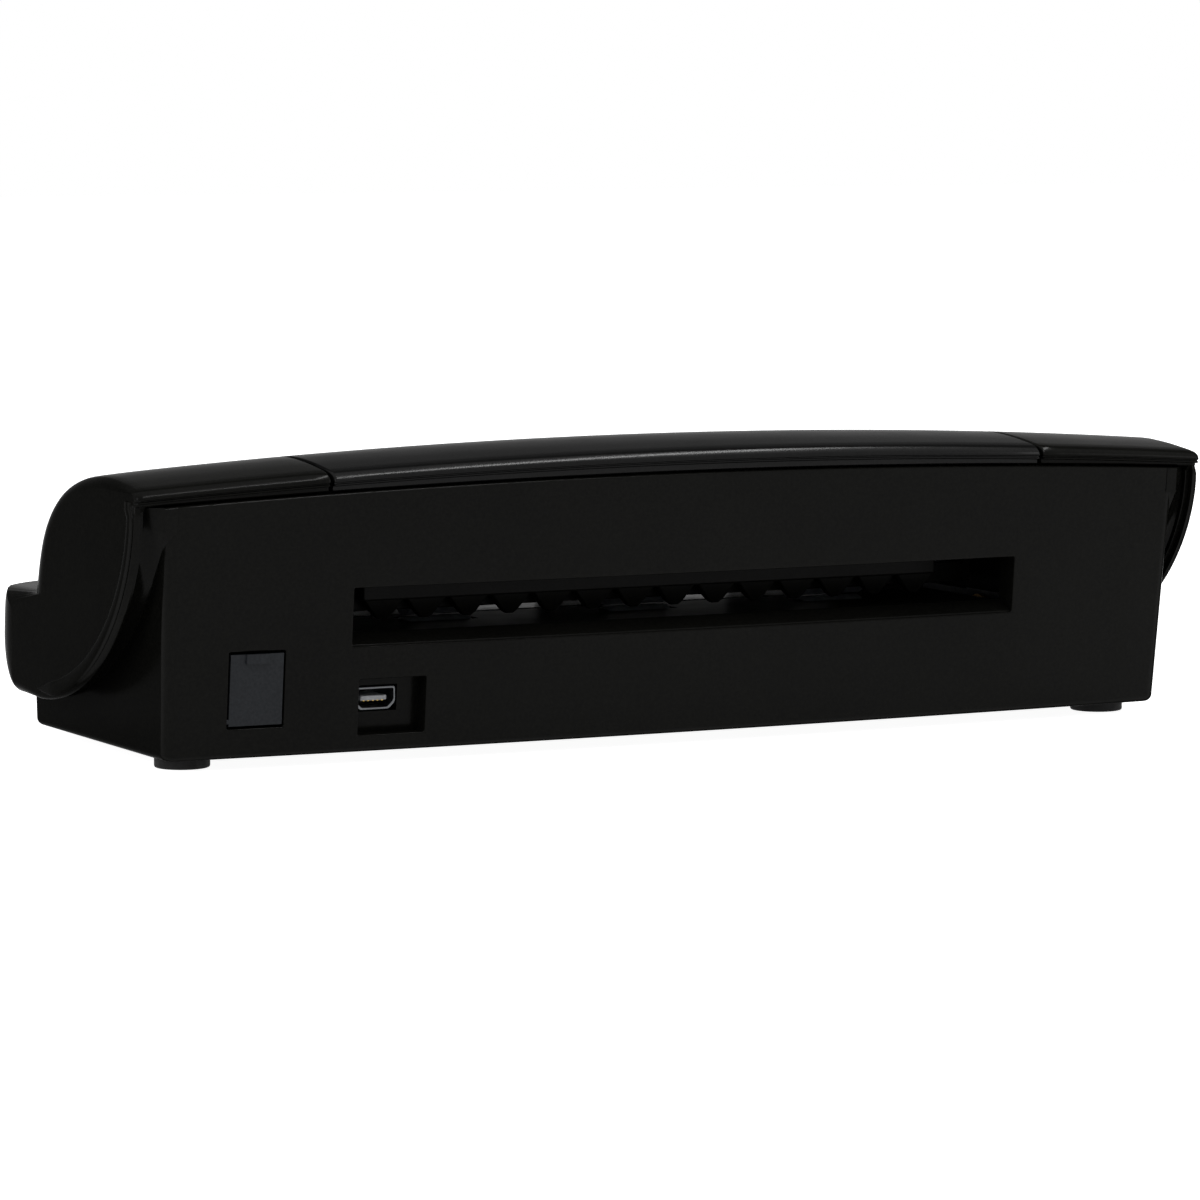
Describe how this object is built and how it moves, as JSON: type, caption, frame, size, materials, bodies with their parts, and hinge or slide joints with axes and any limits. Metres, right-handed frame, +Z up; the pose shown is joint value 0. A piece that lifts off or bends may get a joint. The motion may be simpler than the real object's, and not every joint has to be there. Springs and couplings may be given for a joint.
{
  "type": "card scanner",
  "caption": "Compact sheet-fed card scanner with a wide exit slot in its rear panel, a hinged domed lid over the rollers, a port door and a scan button.",
  "frame": {"origin": "centre of the bounding box's underside, on the surface that the feet stand on", "axes": "+X along the width, towards the port door's end; +Y out of the rear panel with the exit slot; +Z up"},
  "size_m": [0.2028, 0.08, 0.0518],
  "materials": {
    "shell": "fine-grain matte black",
    "lid": "fine-grain satin black",
    "guide": "smooth satin black",
    "door": "fine-grain dark grey",
    "rubber": "matte black",
    "roller": "matte grey",
    "steel": "bright, turned or pressed",
    "brass": "satin",
    "gear": "natural white, satin",
    "frame": "dark grey satin",
    "glass": "clear, polished",
    "board": "green solder mask",
    "connector": "satin black",
    "button": "satin dark grey",
    "lens": "clear, polished"
  },
  "bodies": {
    "base": {"base_housing": "shell", "end_cover_left": "shell", "end_cover_right": "shell", "front_tray": "shell", "lower_guide": "guide", "lower_sensor": "connector", "lower_sensor_glass": "glass", "side_frame_left": "frame", "side_frame_right": "frame", "front_bush_left": "brass", "front_bush_right": "brass", "rear_bush_left": "brass", "rear_bush_right": "brass", "between_gear_stud": "steel", "reduction_gear_stud": "steel", "motor_bracket": "steel", "feed_motor": "steel", "main_board": "board", "data_socket": "steel", "power_jack": "connector", "scan_switch": "board", "status_lens": "lens", "rear_foot_left": "rubber", "rear_foot_right": "rubber", "front_foot_left": "rubber", "front_foot_right": "rubber", "rear_screw_left": "steel", "rear_screw_right": "steel", "front_screw_left": "steel", "front_screw_right": "steel"},
    "lid": {"lid": "lid", "upper_guide": "guide", "upper_sensor": "connector", "upper_sensor_glass": "glass", "front_idler_spring_left": "steel", "front_idler_spring_right": "steel", "rear_idler_spring_left": "steel", "rear_idler_spring_right": "steel", "lid_pin_left": "steel", "lid_pin_right": "steel"},
    "port_door": {"port_door": "door"},
    "scan_button": {"scan_button": "button"},
    "paper_guide": {"paper_guide": "guide"},
    "front_roller": {"front_roller_shaft": "steel", "front_roller_tyre_1": "roller", "front_roller_tyre_2": "roller", "front_roller_tyre_3": "roller", "front_roller_gear": "gear"},
    "front_idler": {"front_idler": "roller"},
    "rear_roller": {"rear_roller_shaft": "steel", "rear_roller_tyre_1": "roller", "rear_roller_tyre_2": "roller", "rear_roller_tyre_3": "roller", "rear_roller_gear": "gear"},
    "rear_idler": {"rear_idler": "roller"},
    "between_gear": {"between_gear": "gear"},
    "reduction_gear": {"reduction_gear": "gear"},
    "motor_pinion": {"motor_pinion": "brass"}
  },
  "joints": [
    {"name": "lid_hinge", "type": "hinge", "parent": "base", "child": "lid", "pos_m": [0, -0.01253, 0.031], "axis": [1, 0, 0], "range_deg": [0, 65]},
    {"name": "door_hinge", "type": "hinge", "parent": "base", "child": "port_door", "pos_m": [0.0794, 0.03356, 0.0082], "axis": [-1, 0, 0], "range_deg": [0, 95]},
    {"name": "button_press", "type": "slide", "parent": "base", "child": "scan_button", "axis": [0, 0.7511, -0.6601], "range_m": [0, 0.0008], "stiffness_N_per_m": 400, "springref_m": -0.0005},
    {"name": "guide_slide", "type": "slide", "parent": "base", "child": "paper_guide", "axis": [1, 0, 0], "range_m": [-0.026, 0.01]},
    {"name": "front_roller_spin", "type": "hinge", "parent": "base", "child": "front_roller", "pos_m": [0, -0.00903, 0.0168], "axis": [1, 0, 0], "continuous": true},
    {"name": "rear_roller_spin", "type": "hinge", "parent": "base", "child": "rear_roller", "pos_m": [0, 0.01497, 0.0168], "axis": [1, 0, 0], "continuous": true},
    {"name": "between_gear_spin", "type": "hinge", "parent": "base", "child": "between_gear", "pos_m": [0, 0.00297, 0.0168], "axis": [1, 0, 0], "continuous": true},
    {"name": "reduction_gear_spin", "type": "hinge", "parent": "base", "child": "reduction_gear", "pos_m": [0, 0.01497, 0.0288], "axis": [1, 0, 0], "continuous": true},
    {"name": "motor_spin", "type": "hinge", "parent": "base", "child": "motor_pinion", "pos_m": [0, 0.00297, 0.0224], "axis": [1, 0, 0], "continuous": true},
    {"name": "front_idler_spin", "type": "hinge", "parent": "lid", "child": "front_idler", "pos_m": [0, -0.00903, 0.0261], "axis": [1, 0, 0], "continuous": true},
    {"name": "rear_idler_spin", "type": "hinge", "parent": "lid", "child": "rear_idler", "pos_m": [0, 0.01497, 0.0261], "axis": [1, 0, 0], "continuous": true}
  ],
  "couplings": [
    {"joint": "rear_roller_spin", "follows": "front_roller_spin", "ratio": 1},
    {"joint": "between_gear_spin", "follows": "front_roller_spin", "ratio": -1.5},
    {"joint": "reduction_gear_spin", "follows": "front_roller_spin", "ratio": -1.5},
    {"joint": "motor_spin", "follows": "front_roller_spin", "ratio": 3.6}
  ]
}
